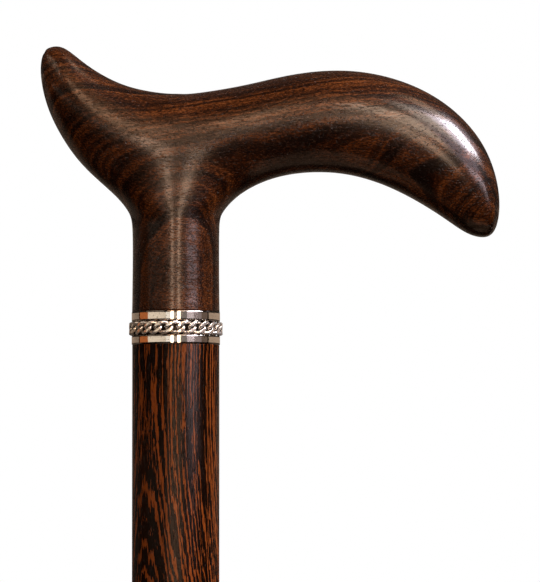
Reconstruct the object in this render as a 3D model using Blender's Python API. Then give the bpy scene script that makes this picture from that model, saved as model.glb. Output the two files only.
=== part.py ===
"""Derby cane: a carved hardwood handle on a turned hardwood shaft, joined by a hidden steel stud.

A metal collar with a curb chain in its groove covers the joint, and a rubber ferrule with a steel
washer in its floor is pushed over the tip.

Metres, +Z up. The origin is the centre of the ferrule's ground face, on the axis of the shaft. The
nose of the handle points along +X and the beak along -X.
"""

import math

import bmesh
import bpy
import numpy as np

# Overall height, from the ground to the top of the beak.
CANE_HEIGHT = 0.914

# Handle outline from the side. A reach is measured from the axis of the shaft, a rise from the
# foot of the neck.
BEAK_REACH = 0.03705
BEAK_BACK_RISE = 0.0670
BEAK_TOP_REACH = 0.0336
BEAK_TOP_RISE = 0.07275
BELLY_REACH = 0.0200
BELLY_RISE = 0.0348
SADDLE_REACH = 0.0009
SADDLE_RISE = 0.0597
CROWN_REACH = 0.0440
CROWN_RISE = 0.0661
NOSE_REACH = 0.08835
NOSE_FRONT_RISE = 0.0290
NOSE_FOOT_REACH = 0.0830
NOSE_FOOT_RISE = 0.0203
CROOK_REACH = 0.0395
CROOK_RISE = 0.0383
THROAT_REACH = 0.0170
THROAT_RISE = 0.03175
NECK_STRAIGHT = 0.0215
NECK_FOOT_RADIUS = 0.01195
NECK_WAIST_RADIUS = 0.01185

# Handle outline from above, as half widths.
SADDLE_HALF_WIDTH = 0.0121
PALM_HALF_WIDTH = 0.0130
PALM_WIDEST_AT = 0.0380  # along the top line, from the saddle

# Rim where the neck leaves the handle.
RIM_RISE = 0.0322
RIM_SIDE_RISE = 0.0357  # where it crosses the front and the back of the neck
RIM_SPREAD = 0.0046  # along the top line, each side of the saddle
NECK_DIAGONAL = 1.04  # the fillet has begun at the diagonals of the neck's first ring
NECK_FILLET_SHARE = 0.55  # of the way from the straight neck to the rim, where that ring lies
NECK_LOWER_SHARE = 0.35  # of the straight neck, below its lower ring

# Sections across the arms of the handle: how far down from the top the widest line lies, and how
# far out the diagonals reach, where a true ellipse has 0.707.
SECTION_WIDEST = 0.46
SECTION_FULLNESS = 0.725

# Where the sections lie, as shares of the way from the rim of the neck to each tip.
BEAK_SECTIONS = (0, 0.23, 0.45, 0.66, 0.84, 0.95)
NOSE_SECTIONS = (0, 0.12, 0.25, 0.39, 0.53, 0.66, 0.78, 0.88, 0.95)

# Shaft.
SHAFT_TOP_RADIUS = 0.0119
SHAFT_STRAIGHT_LENGTH = 0.120
SHAFT_TIP_RADIUS = 0.0090
SHAFT_TIP_LENGTH = 0.034  # parallel stretch that the ferrule grips
TIP_CHAMFER = 0.0010

# Spigot of the shaft, which carries the collar.
SPIGOT_RADIUS = 0.0090
SPIGOT_CHAMFER = 0.0004

# Stud that pins the handle to the shaft.
STUD_RADIUS = 0.0040
STUD_GRIP = 0.035  # length held in each of the two woods
STUD_CHAMFER = 0.0008
DRILL_SPARE = 0.0020  # depth left free beyond each end of the stud
DRILL_POINT = 0.5  # height of the drill's point, in radii of its hole

# Collar: a sleeve, two bands and the curb chain between them.
SLEEVE_WALL = 0.0010
BAND_RADIUS = 0.01205
BAND_HEIGHT = 0.00215
BAND_EDGE = 0.0002
CHAIN_LINKS = 24
LINK_HEIGHT = 0.0038
LINK_WIRE = 0.0010
LINK_SLACK = 0.00065
LINK_TWIST = math.radians(-60)

# Ferrule and its washer.
FERRULE_HEIGHT = 0.036
FERRULE_FLOOR = 0.0065  # rubber under the washer
RIB_RADIUS = 0.0118
FERRULE_BODY_RADIUS = 0.0113
FERRULE_FOOT_RADIUS = 0.0150
FERRULE_FOOT_HEIGHT = 0.0045
FERRULE_FLARE_HEIGHT = 0.0130
FERRULE_EDGE = 0.0010
FERRULE_MOUTH_EDGE = 0.0004
FERRULE_RIBS = 3
RIB_HEIGHT = 0.0018
RIB_PITCH = 0.0036
RIB_EDGE = 0.0003
TREAD_DISC_RADIUS = 0.0055
TREAD_GROOVE_WIDTH = 0.0016
TREAD_GROOVE_DEPTH = 0.0012
TREAD_GROOVES = 2
WASHER_THICKNESS = 0.0012

# Clearances.
SEAT_GAP = 0.0003  # between two faces that bear on each other
FIT_GAP = 0.0003  # round a piece that sits in a hole

# Facets.
ROUND_SIDES = 48
FERRULE_SIDES = 40
SMALL_ROUND_SIDES = 24
LINK_POINTS = 14
LINK_SIDES = 6
HANDLE_LEVELS = 2

COLLAR_HEIGHT = 2 * (BAND_HEIGHT + SEAT_GAP) + LINK_HEIGHT
NECK_FOOT_Z = CANE_HEIGHT - BEAK_TOP_RISE
COLLAR_TOP_Z = NECK_FOOT_Z - SEAT_GAP
COLLAR_FOOT_Z = COLLAR_TOP_Z - COLLAR_HEIGHT
SHOULDER_Z = COLLAR_FOOT_Z - SEAT_GAP
SLEEVE_BORE_RADIUS = SPIGOT_RADIUS + FIT_GAP
SLEEVE_RADIUS = SLEEVE_BORE_RADIUS + SLEEVE_WALL
STUD_HOLE_RADIUS = STUD_RADIUS + FIT_GAP
WASHER_FOOT_Z = FERRULE_FLOOR + SEAT_GAP
SHAFT_FOOT_Z = WASHER_FOOT_Z + WASHER_THICKNESS + SEAT_GAP
SOCKET_RADIUS = SHAFT_TIP_RADIUS + FIT_GAP


def finish(name, color, roughness, metallic=0.0):
    material = bpy.data.materials.new(name)
    material.use_nodes = True
    shader = material.node_tree.nodes["Principled BSDF"]
    shader.inputs["Base Color"].default_value = (*color, 1.0)
    shader.inputs["Roughness"].default_value = roughness
    shader.inputs["Metallic"].default_value = metallic
    return material


def place(name, data, material, turn=0.0):
    """Object in the scene with its own finish, turned about the axis of the shaft."""
    piece = bpy.data.objects.new(name, data)
    piece.rotation_euler.z = turn
    if not data.materials:
        data.materials.append(material)
    bpy.context.collection.objects.link(piece)
    return piece


def turned_mesh(name, outline, sides):
    """Solid of revolution about Z. The outline is a closed run of (radius, height) points, and a
    point on the axis has radius 0."""
    shape = bmesh.new()
    corners = [shape.verts.new((radius, 0.0, height)) for radius, height in outline]
    for start, end in zip(corners, corners[1:] + corners[:1]):
        if start.co.x > 0 or end.co.x > 0:
            shape.edges.new((start, end))
    bmesh.ops.spin(
        shape,
        geom=shape.verts[:] + shape.edges[:],
        cent=(0, 0, 0),
        axis=(0, 0, 1),
        angle=2 * math.pi,
        steps=sides,
        use_merge=True,
    )
    bmesh.ops.remove_doubles(shape, verts=shape.verts, dist=1e-7)
    bmesh.ops.recalc_face_normals(shape, faces=shape.faces)
    mesh = bpy.data.meshes.new(name)
    shape.to_mesh(mesh)
    shape.free()
    mesh.shade_smooth()
    mesh.set_sharp_from_angle(angle=math.radians(30))
    return mesh


def turned(name, outline, material, sides=ROUND_SIDES):
    return place(name, turned_mesh(name, outline, sides), material)


def sweep(start, start_heading, start_pull, end, end_heading, end_pull, steps=32):
    """Curve between two points of a drawing. It leaves and arrives along the headings, in degrees,
    and a pull is the share of the straight distance over which it keeps to a heading."""
    start, end = np.array(start), np.array(end)
    reach = np.linalg.norm(end - start)
    angles = np.radians((start_heading, end_heading))
    leave, arrive = np.stack((np.cos(angles), np.sin(angles)), axis=1)
    knots = (start, start + leave * start_pull * reach, end - arrive * end_pull * reach, end)
    share = np.linspace(0, 1, steps + 1)[:, None]
    weights = ((1 - share) ** 3, 3 * (1 - share) ** 2 * share, 3 * (1 - share) * share**2, share**3)
    return sum(weight * knot for weight, knot in zip(weights, knots))


def joined(*runs):
    """One line from runs that meet end to end."""
    return np.concatenate([runs[0]] + [run[1:] for run in runs[1:]])


def lengths_along(line):
    steps = np.linalg.norm(np.diff(line, axis=0), axis=1)
    return np.concatenate(([0.0], np.cumsum(steps)))


def point_at(line, distance):
    lengths = lengths_along(line)
    return np.array([np.interp(distance, lengths, line[:, axis]) for axis in (0, 1)])


def distance_at_rise(line, rise):
    """Distance along a line that climbs from its start, where it first reaches a rise."""
    first = int(np.argmax(line[:, 1] >= rise))
    lengths = lengths_along(line)
    return np.interp(rise, line[first - 1 : first + 1, 1], lengths[first - 1 : first + 1])


def handle_outline():
    """The side view as (reach, rise) lines. The top runs from the saddle to each tip, and the
    underside from the neck to each tip."""
    beak_back = (-BEAK_REACH, BEAK_BACK_RISE)
    beak_top = (-BEAK_TOP_REACH, BEAK_TOP_RISE)
    belly = (-BELLY_REACH, BELLY_RISE)
    saddle = (SADDLE_REACH, SADDLE_RISE)
    crown = (CROWN_REACH, CROWN_RISE)
    nose_front = (NOSE_REACH, NOSE_FRONT_RISE)
    nose_foot = (NOSE_FOOT_REACH, NOSE_FOOT_RISE)
    crook = (CROOK_REACH, CROOK_RISE)
    throat = (THROAT_REACH, THROAT_RISE)
    neck_back = (-NECK_WAIST_RADIUS, NECK_STRAIGHT)
    neck_front = (NECK_WAIST_RADIUS, NECK_STRAIGHT)

    beak_round = sweep(beak_back, 90, 0.36, beak_top, 0, 0.31)
    nose_round = sweep(nose_front, -90, 0.38, nose_foot, 180, 0.46)
    half_beak, half_nose = len(beak_round) // 2, len(nose_round) // 2
    beak_over = joined(
        sweep(saddle, 180, 0.61, beak_top, 180, 0.18),
        beak_round[half_beak:][::-1],
    )
    beak_under = joined(
        sweep(neck_back, 90, 0.45, belly, 139, 0.41),
        sweep(belly, 139, 0.34, beak_back, 90, 0.33),
        beak_round[: half_beak + 1],
    )
    nose_over = joined(
        sweep(saddle, 0, 0.35, crown, 0, 0.36),
        sweep(crown, 0, 0.40, nose_front, -90, 0.39),
        nose_round[: half_nose + 1],
    )
    nose_under = joined(
        sweep(neck_front, 90, 0.45, throat, 37, 0.43),
        sweep(throat, 37, 0.35, crook, 0, 0.345),
        sweep(crook, 0, 0.47, nose_foot, 0, 0.11),
        nose_round[half_nose:][::-1],
    )
    return beak_over, beak_under, nose_over, nose_under


def handle_plans(beak_over, nose_over):
    """Half widths seen from above, as (distance from the saddle along the top, half width)."""
    beak_length = lengths_along(beak_over)[-1]
    nose_length = lengths_along(nose_over)[-1]
    beak_plan = sweep((0, SADDLE_HALF_WIDTH), -4, 0.62, (beak_length, 0), -90, 0.15)
    nose_plan = joined(
        sweep((0, SADDLE_HALF_WIDTH), 0, 0.35, (PALM_WIDEST_AT, PALM_HALF_WIDTH), 0, 0.35),
        sweep((PALM_WIDEST_AT, PALM_HALF_WIDTH), 0, 0.62, (nose_length, 0), -90, 0.14),
    )
    return beak_plan, nose_plan


def section(over, under, half_width):
    """Eight points round an arm, from the top over the front (-Y) and the underside to the back."""
    widest = over + (under - over) * SECTION_WIDEST
    full = SECTION_FULLNESS
    ring = []
    for rise, side in ((1, 0), (full, -full), (0, -1), (-full, -full)):
        edge = over if rise > 0 else under
        reach, height = widest + (edge - widest) * abs(rise)
        ring.append((reach, side * half_width, height))
    ring.append((under[0], 0.0, under[1]))
    return ring + [(x, -y, z) for x, y, z in ring[3:0:-1]]


def arm_sections(over, under, plan, shares):
    """Sections of one arm, at the given shares of the way from the rim of the neck to the tip."""
    over_length, under_length = lengths_along(over)[-1], lengths_along(under)[-1]
    under_start = distance_at_rise(under, RIM_RISE)
    rings = []
    for share in shares:
        over_distance = RIM_SPREAD + (over_length - RIM_SPREAD) * share
        under_distance = under_start + (under_length - under_start) * share
        half_width = np.interp(over_distance, plan[:, 0], plan[:, 1])
        rings.append(
            section(point_at(over, over_distance), point_at(under, under_distance), half_width)
        )
    return rings


def neck_ring(rise, back, front, radius, diagonal=1.0):
    """Eight points round the neck, from the back (-X) over the front (-Y)."""
    ring = []
    for step in range(8):
        angle = math.pi * step / 4
        reach = math.cos(angle) * (back if math.cos(angle) > 0 else -front)
        side = -math.sin(angle) * radius * (diagonal if step % 2 else 1.0)
        ring.append((reach, side, rise))
    return ring


def neck_rings(under_back, under_front):
    """Rings of the neck from its fillet to its foot."""
    fillet_rise = NECK_STRAIGHT + NECK_FILLET_SHARE * (RIM_RISE - NECK_STRAIGHT)
    fillet_back, fillet_front = [
        point_at(line, distance_at_rise(line, fillet_rise))[0] for line in (under_back, under_front)
    ]
    waist, foot = NECK_WAIST_RADIUS, NECK_FOOT_RADIUS
    return [
        neck_ring(fillet_rise, fillet_back, fillet_front, waist, NECK_DIAGONAL),
        neck_ring(NECK_STRAIGHT, -waist, waist, waist),
        neck_ring(NECK_STRAIGHT * NECK_LOWER_SHARE, -waist, waist, waist),
        neck_ring(0.0, -foot, foot, foot),
    ]


def fit_cage(shape, creased):
    """Moves the corners of a cage so that its Catmull-Clark surface passes where they were, by the
    weights that give the surface's limit point at a corner."""
    shape.verts.index_update()
    targets = np.array([corner.co for corner in shape.verts], float)
    weights = np.zeros((len(targets), len(targets)))
    for corner in shape.verts:
        near = [edge.other_vert(corner) for edge in corner.link_edges]
        opposite = []
        own_weight, near_weight = len(near) ** 2, 4
        if corner in creased:
            near = [other for other in near if other in creased]
            own_weight, near_weight = 4, 1
        else:
            for face in corner.link_faces:
                opposite += [v for v in face.verts if v is not corner and v not in near]
        row = weights[corner.index]
        row[corner.index] = own_weight
        row[[other.index for other in near]] = near_weight
        row[[other.index for other in opposite]] = 1
        row /= row.sum()
    for corner, position in zip(shape.verts, np.linalg.solve(weights, targets)):
        corner.co = position


def handle_cage():
    """Cage of the handle: rings from the beak over the neck to the nose, with the rings of the
    neck hung in the opening between the three middle ones."""
    beak_over, beak_under, nose_over, nose_under = handle_outline()
    beak_plan, nose_plan = handle_plans(beak_over, nose_over)
    beak_rings = arm_sections(beak_over, beak_under, beak_plan, BEAK_SECTIONS)
    nose_rings = arm_sections(nose_over, nose_under, nose_plan, NOSE_SECTIONS)
    saddle_ring = section(
        np.array((SADDLE_REACH, SADDLE_RISE)), np.array((0.0, RIM_RISE)), SADDLE_HALF_WIDTH
    )
    saddle_ring[3] = (0.0, -NECK_WAIST_RADIUS, RIM_SIDE_RISE)
    saddle_ring[5] = (0.0, NECK_WAIST_RADIUS, RIM_SIDE_RISE)

    shape = bmesh.new()

    def corners(ring):
        return [shape.verts.new(point) for point in ring]

    def bridge(one, other, skip=()):
        for step in range(len(one)):
            if step not in skip:
                after = (step + 1) % len(one)
                shape.faces.new((one[step], one[after], other[after], other[step]))

    beak = [corners(ring) for ring in beak_rings]
    nose = [corners(ring) for ring in nose_rings]
    saddle = [None if step == 4 else shape.verts.new(p) for step, p in enumerate(saddle_ring)]
    for arm in (beak, nose):
        for one, other in zip(arm, arm[1:]):
            bridge(one, other)
        bridge(arm[0], saddle, skip=(3, 4))
    for arm, line in ((beak, beak_over), (nose, nose_over)):
        tip = shape.verts.new((line[-1][0], 0.0, line[-1][1]))
        last = arm[-1]
        for step in range(0, 8, 2):
            shape.faces.new((tip, last[step], last[step + 1], last[(step + 2) % 8]))

    back, front = beak[0], nose[0]
    rim = [back[4], back[3], saddle[3], front[3], front[4], front[5], saddle[5], back[5]]
    neck = [rim] + [corners(ring) for ring in neck_rings(beak_under, nose_under)]
    for one, other in zip(neck, neck[1:]):
        bridge(one, other)
    foot = neck[-1]
    shape.faces.new(foot)

    fit_cage(shape, set(foot))
    crease = shape.edges.layers.float.new("crease_edge")
    for edge in shape.edges:
        if edge.verts[0] in foot and edge.verts[1] in foot:
            edge[crease] = 1.0
    bmesh.ops.recalc_face_normals(shape, faces=shape.faces)
    return shape


def make_handle():
    shape = handle_cage()
    bmesh.ops.translate(shape, verts=shape.verts, vec=(0, 0, NECK_FOOT_Z))
    mesh = bpy.data.meshes.new("handle")
    shape.to_mesh(mesh)
    shape.free()
    mesh.shade_smooth()
    handle = place("handle", mesh, finish("dark_rosewood", (0.085, 0.026, 0.014), 0.28))
    smooth = handle.modifiers.new("smooth", "SUBSURF")
    smooth.levels = HANDLE_LEVELS
    smooth.render_levels = HANDLE_LEVELS
    hole_depth = STUD_GRIP + DRILL_SPARE
    drill = turned(
        "handle_drill",
        (
            (0, NECK_FOOT_Z - hole_depth / 2),
            (STUD_HOLE_RADIUS, NECK_FOOT_Z - hole_depth / 2),
            (STUD_HOLE_RADIUS, NECK_FOOT_Z + hole_depth),
            (0, NECK_FOOT_Z + hole_depth + STUD_HOLE_RADIUS * DRILL_POINT),
        ),
        finish("drill", (0.5, 0.5, 0.5), 0.5),
        SMALL_ROUND_SIDES,
    )
    drill.hide_render = True
    drill.display_type = "WIRE"
    bore = handle.modifiers.new("stud_hole", "BOOLEAN")
    bore.operation = "DIFFERENCE"
    bore.solver = "EXACT"
    bore.object = drill


def make_shaft():
    hole_foot = SHOULDER_Z - STUD_GRIP - DRILL_SPARE
    taper_top = SHOULDER_Z - SHAFT_STRAIGHT_LENGTH
    turned(
        "shaft",
        (
            (0, SHAFT_FOOT_Z),
            (SHAFT_TIP_RADIUS - TIP_CHAMFER, SHAFT_FOOT_Z),
            (SHAFT_TIP_RADIUS, SHAFT_FOOT_Z + TIP_CHAMFER),
            (SHAFT_TIP_RADIUS, SHAFT_FOOT_Z + SHAFT_TIP_LENGTH),
            (SHAFT_TOP_RADIUS, taper_top),
            (SHAFT_TOP_RADIUS, SHOULDER_Z),
            (SPIGOT_RADIUS, SHOULDER_Z),
            (SPIGOT_RADIUS, COLLAR_TOP_Z - SPIGOT_CHAMFER),
            (SPIGOT_RADIUS - SPIGOT_CHAMFER, COLLAR_TOP_Z),
            (STUD_HOLE_RADIUS, COLLAR_TOP_Z),
            (STUD_HOLE_RADIUS, hole_foot),
            (0, hole_foot - STUD_HOLE_RADIUS * DRILL_POINT),
        ),
        finish("wenge", (0.050, 0.018, 0.010), 0.36),
    )


def make_stud():
    foot, top = SHOULDER_Z - STUD_GRIP, NECK_FOOT_Z + STUD_GRIP
    turned(
        "joint_stud",
        (
            (0, foot),
            (STUD_RADIUS - STUD_CHAMFER, foot),
            (STUD_RADIUS, foot + STUD_CHAMFER),
            (STUD_RADIUS, top - STUD_CHAMFER),
            (STUD_RADIUS - STUD_CHAMFER, top),
            (0, top),
        ),
        finish("zinc_steel", (0.52, 0.53, 0.54), 0.35, 1.0),
        SMALL_ROUND_SIDES,
    )


def make_collar():
    silver = finish("collar_silver", (0.76, 0.73, 0.69), 0.16, 1.0)
    turned(
        "collar_sleeve",
        (
            (SLEEVE_BORE_RADIUS, COLLAR_FOOT_Z),
            (SLEEVE_RADIUS, COLLAR_FOOT_Z),
            (SLEEVE_RADIUS, COLLAR_TOP_Z),
            (SLEEVE_BORE_RADIUS, COLLAR_TOP_Z),
        ),
        silver,
    )
    bore = SLEEVE_RADIUS + FIT_GAP
    for name, foot in (
        ("collar_upper_band", COLLAR_TOP_Z - BAND_HEIGHT),
        ("collar_lower_band", COLLAR_FOOT_Z),
    ):
        top = foot + BAND_HEIGHT
        turned(
            name,
            (
                (bore, foot),
                (BAND_RADIUS - BAND_EDGE, foot),
                (BAND_RADIUS, foot + BAND_EDGE),
                (BAND_RADIUS, top - BAND_EDGE),
                (BAND_RADIUS - BAND_EDGE, top),
                (bore, top),
            ),
            silver,
        )


def link_route(count):
    """Centre line of one curb link as (along the ring, up, outward) points. The oval is twisted
    about its own length, so that its neighbours pass through it and it still lies flat."""
    half_height = (LINK_HEIGHT - LINK_WIRE) / 2
    turn = np.linspace(0, 2 * math.pi, count, endpoint=False)
    twist = LINK_TWIST * np.cos(turn)
    across = half_height * np.sin(turn)
    depth = np.abs(across * np.sin(twist)).max()
    ring_radius = SLEEVE_RADIUS + FIT_GAP + LINK_WIRE / 2 + depth
    pitch = 2 * math.pi * ring_radius / CHAIN_LINKS
    half_length = (pitch + LINK_WIRE + LINK_SLACK) / 2
    along = half_length * np.cos(turn)
    return ring_radius, along, across * np.cos(twist), across * np.sin(twist)


def make_chain():
    ring_radius, along, up, outward = link_route(LINK_POINTS)
    wire = bpy.data.curves.new("chain_link", "CURVE")
    wire.dimensions = "3D"
    wire.bevel_depth = LINK_WIRE / 2
    wire.bevel_resolution = LINK_SIDES // 2 - 2
    route = wire.splines.new("POLY")
    route.use_cyclic_u = True
    route.use_smooth = True
    route.points.add(LINK_POINTS - 1)
    middle = (COLLAR_TOP_Z + COLLAR_FOOT_Z) / 2
    for point, distance, rise, depth in zip(route.points, along, up, outward):
        bearing = distance / ring_radius
        radius = ring_radius + depth
        point.co = (radius * math.sin(bearing), -radius * math.cos(bearing), middle + rise, 1.0)
    silver = finish("chain_silver", (0.72, 0.69, 0.65), 0.20, 1.0)
    for number in range(CHAIN_LINKS):
        turn = 2 * math.pi * number / CHAIN_LINKS
        place(f"chain_link_{number + 1:02d}", wire, silver, turn)


def ferrule_outline():
    """Half section of the ferrule, from the middle of its ground face out, up and back inside."""
    outline = [(0, 0)]
    edge = TREAD_DISC_RADIUS
    tread_width = FERRULE_FOOT_RADIUS - FERRULE_EDGE - TREAD_DISC_RADIUS
    ring_width = tread_width / TREAD_GROOVES - TREAD_GROOVE_WIDTH
    for _ in range(TREAD_GROOVES):
        inner, outer = edge, edge + TREAD_GROOVE_WIDTH
        outline += [(inner, 0), (inner, TREAD_GROOVE_DEPTH), (outer, TREAD_GROOVE_DEPTH), (outer, 0)]
        edge = outer + ring_width
    outline += [
        (FERRULE_FOOT_RADIUS - FERRULE_EDGE, 0),
        (FERRULE_FOOT_RADIUS, FERRULE_EDGE),
    ]
    flare_foot = (FERRULE_FOOT_RADIUS, FERRULE_FOOT_HEIGHT)
    flare_top = (FERRULE_BODY_RADIUS, FERRULE_FOOT_HEIGHT + FERRULE_FLARE_HEIGHT)
    outline += [tuple(point) for point in sweep(flare_foot, 90, 0.35, flare_top, 90, 0.5, 6)]
    first_rib = FERRULE_HEIGHT - FERRULE_RIBS * RIB_PITCH
    for rib in range(FERRULE_RIBS):
        foot = first_rib + rib * RIB_PITCH
        outline += [
            (FERRULE_BODY_RADIUS, foot),
            (RIB_RADIUS, foot + RIB_EDGE),
            (RIB_RADIUS, foot + RIB_HEIGHT),
            (FERRULE_BODY_RADIUS, foot + RIB_HEIGHT + RIB_EDGE),
        ]
    outline += [
        (FERRULE_BODY_RADIUS, FERRULE_HEIGHT - FERRULE_MOUTH_EDGE),
        (FERRULE_BODY_RADIUS - FERRULE_MOUTH_EDGE, FERRULE_HEIGHT),
        (SOCKET_RADIUS + FERRULE_MOUTH_EDGE, FERRULE_HEIGHT),
        (SOCKET_RADIUS, FERRULE_HEIGHT - FERRULE_MOUTH_EDGE),
        (SOCKET_RADIUS, FERRULE_FLOOR),
        (0, FERRULE_FLOOR),
    ]
    return outline


def make_ferrule():
    rubber = finish("black_rubber", (0.018, 0.018, 0.019), 0.72)
    turned("ferrule", ferrule_outline(), rubber, FERRULE_SIDES)
    turned(
        "ferrule_washer",
        (
            (0, WASHER_FOOT_Z),
            (SHAFT_TIP_RADIUS, WASHER_FOOT_Z),
            (SHAFT_TIP_RADIUS, WASHER_FOOT_Z + WASHER_THICKNESS),
            (0, WASHER_FOOT_Z + WASHER_THICKNESS),
        ),
        finish("washer_steel", (0.55, 0.55, 0.56), 0.35, 1.0),
        SMALL_ROUND_SIDES,
    )


for leftover in list(bpy.data.objects):
    bpy.data.objects.remove(leftover)

make_handle()
make_stud()
make_collar()
make_chain()
make_shaft()
make_ferrule()
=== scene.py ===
"""Derby cane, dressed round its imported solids: a rosewood handle on a striped wenge shaft, a silver
collar with a curb chain, and a rubber ferrule.

Metres, +Z up. The nose of the handle points along +X, and the camera looks along +Y.
"""

import math

import bmesh
import bpy
import numpy as np
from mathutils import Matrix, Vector


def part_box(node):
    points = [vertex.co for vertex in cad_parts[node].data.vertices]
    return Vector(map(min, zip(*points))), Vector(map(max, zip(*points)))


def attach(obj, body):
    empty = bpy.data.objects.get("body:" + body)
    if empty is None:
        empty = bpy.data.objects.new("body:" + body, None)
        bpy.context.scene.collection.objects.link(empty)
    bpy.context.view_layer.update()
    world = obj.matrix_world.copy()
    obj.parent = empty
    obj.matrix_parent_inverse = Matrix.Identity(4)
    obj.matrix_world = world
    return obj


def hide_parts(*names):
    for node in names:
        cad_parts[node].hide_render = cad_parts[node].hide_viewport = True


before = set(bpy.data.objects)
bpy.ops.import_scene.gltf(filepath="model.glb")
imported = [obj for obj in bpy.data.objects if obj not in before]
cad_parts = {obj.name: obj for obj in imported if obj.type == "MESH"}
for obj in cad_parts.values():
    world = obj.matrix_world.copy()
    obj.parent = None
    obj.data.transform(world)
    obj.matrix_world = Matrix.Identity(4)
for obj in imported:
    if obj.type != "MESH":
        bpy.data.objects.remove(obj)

bpy.context.view_layer.update()

# Shaft. Turned from one straight length of wenge, with a spigot on top for the collar and a
# parallel tip for the ferrule, then lacquered to a satin. The tree's layers cross it as thin
# orange-brown stripes in near-black wood.

shaft_low, shaft_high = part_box("shaft")
SHAFT_RADIUS = shaft_high.x
SHAFT_TIP_RADIUS = 0.0090
SHAFT_TIP_LENGTH = 0.034
SHAFT_STRAIGHT_LENGTH = 0.120
SPIGOT_RADIUS = 0.0090
SPIGOT_LENGTH = 0.0090
STUD_HOLE_RADIUS = 0.0043
STUD_HOLE_DEPTH = 0.037
SHOULDER_LIFT = 0.0002  # by which the shoulder comes closer to the lower band
SHOULDER_Z = shaft_high.z - SPIGOT_LENGTH + SHOULDER_LIFT
TIP_EDGE = 0.0010
SHOULDER_EDGE = 0.00015
SPIGOT_EDGE = 0.0004
SHAFT_SIDES = 128
SHARP_ANGLE = math.radians(30)  # between faces, from which an edge shades as sharp

STRIPE_PITCH = 1.12  # mm between two light stripes, where the layers are widest
STRIPE_CROWDING = 0.016  # grows with the distance from the middle of the tree
WIDEST_STRIPES = 14.5  # mm from the middle of the tree
TREE_MIDDLE = (-14.5, -15.5)  # mm from the shaft's axis, to the left and towards the camera
GRAIN_SWAY = 6.5  # mm by which the layers sway in and out along the shaft
SWAY_TOP = 822.0  # height in mm at which they stand farthest out
SWAY_LENGTH = 250.0


class Wire:
    """What one output of a shader node carries. Arithmetic on wires and numbers adds Math nodes."""

    def __init__(self, tree, socket=None):
        self.tree = tree
        self.socket = socket

    def node(self, kind, settings=None, values=None, output=0):
        """Adds any node: its settings come first, then a value or a wire for each socket named."""
        made = self.tree.nodes.new(kind)
        for name, setting in (settings or {}).items():
            if name == "stops":
                first, last = made.color_ramp.elements
                first.position, first.color = setting[0]
                last.position, last.color = setting[-1]
                for place, color in setting[1:-1]:
                    made.color_ramp.elements.new(place).color = color
            else:
                setattr(made, name, setting)
        for name, value in (values or {}).items():
            if isinstance(value, Wire):
                self.tree.links.new(value.socket, made.inputs[name])
            else:
                made.inputs[name].default_value = value
        return Wire(self.tree, made.outputs[output])

    def math(self, operation, *others):
        terms = dict(enumerate((self, *others)))
        return self.node("ShaderNodeMath", {"operation": operation}, terms)

    def __add__(self, other):
        return self.math("ADD", other)

    def __sub__(self, other):
        return self.math("SUBTRACT", other)

    def __rsub__(self, other):
        return self.node("ShaderNodeMath", {"operation": "SUBTRACT"}, {0: other, 1: self})

    def __mul__(self, other):
        return self.math("MULTIPLY", other)

    def __truediv__(self, other):
        return self.math("DIVIDE", other)

    def __rtruediv__(self, other):
        return self.node("ShaderNodeMath", {"operation": "DIVIDE"}, {0: other, 1: self})

    __radd__ = __add__
    __rmul__ = __mul__

    def rise(self, low, high):
        """0 below low, 1 above high and a smooth step between."""
        limits = {"Value": self, "From Min": low, "From Max": high}
        return self.node("ShaderNodeMapRange", {"interpolation_type": "SMOOTHSTEP"}, limits)

    def stretched(self, x, y, z):
        factors = {0: self, 1: (x, y, z)}
        return self.node("ShaderNodeVectorMath", {"operation": "MULTIPLY"}, factors)

    def split(self):
        """The X, Y and Z of a vector."""
        parts = self.node("ShaderNodeSeparateXYZ", {}, {"Vector": self})
        return [Wire(self.tree, socket) for socket in parts.socket.node.outputs]

    def noise(self, x, y, z, detail=2.0, roughness=0.5):
        """Cloudy noise about 0.5 on a vector, with x, y and z waves a unit along its axes."""
        values = {
            "Vector": self.stretched(x, y, z),
            "Scale": 1.0,
            "Detail": detail,
            "Roughness": roughness,
        }
        return self.node("ShaderNodeTexNoise", {"noise_dimensions": "3D"}, values)

    def lines(self, pitch, detail=2.0, roughness=0.5):
        """Noise about 0.5 along a single number, with one wave in each pitch."""
        values = {"W": self / pitch, "Scale": 1.0, "Detail": detail, "Roughness": roughness}
        return self.node("ShaderNodeTexNoise", {"noise_dimensions": "1D"}, values)

    def tint(self, low, high):
        """Mix of two colours, where this wire is 0 and where it is 1."""
        low, high = [c if isinstance(c, Wire) else (*c, 1.0) for c in (low, high)]
        return self.node("ShaderNodeMix", {"data_type": "RGBA"}, {0: self, 6: low, 7: high}, 2)


def finish(name, constants, recipe):
    """A Principled material. Its constants stand on the sockets, and the recipe, given a point on the
    surface in millimetres, returns what varies: wires for sockets, and a height in mm for a bump."""
    material = bpy.data.materials.new(name)
    material.use_nodes = True
    tree = material.node_tree
    shader = tree.nodes["Principled BSDF"]
    for socket, value in constants.items():
        shader.inputs[socket].default_value = value
    point = Wire(tree).node("ShaderNodeTexCoord", output="Object").stretched(1e3, 1e3, 1e3)
    for socket, wire in recipe(point).items():
        if socket == "Height":
            bump = wire.node("ShaderNodeBump", {}, {"Distance": 0.001, "Height": wire})
            tree.links.new(bump.socket, shader.inputs["Normal"])
        else:
            tree.links.new(wire.socket, shader.inputs[socket])
    return material


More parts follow.
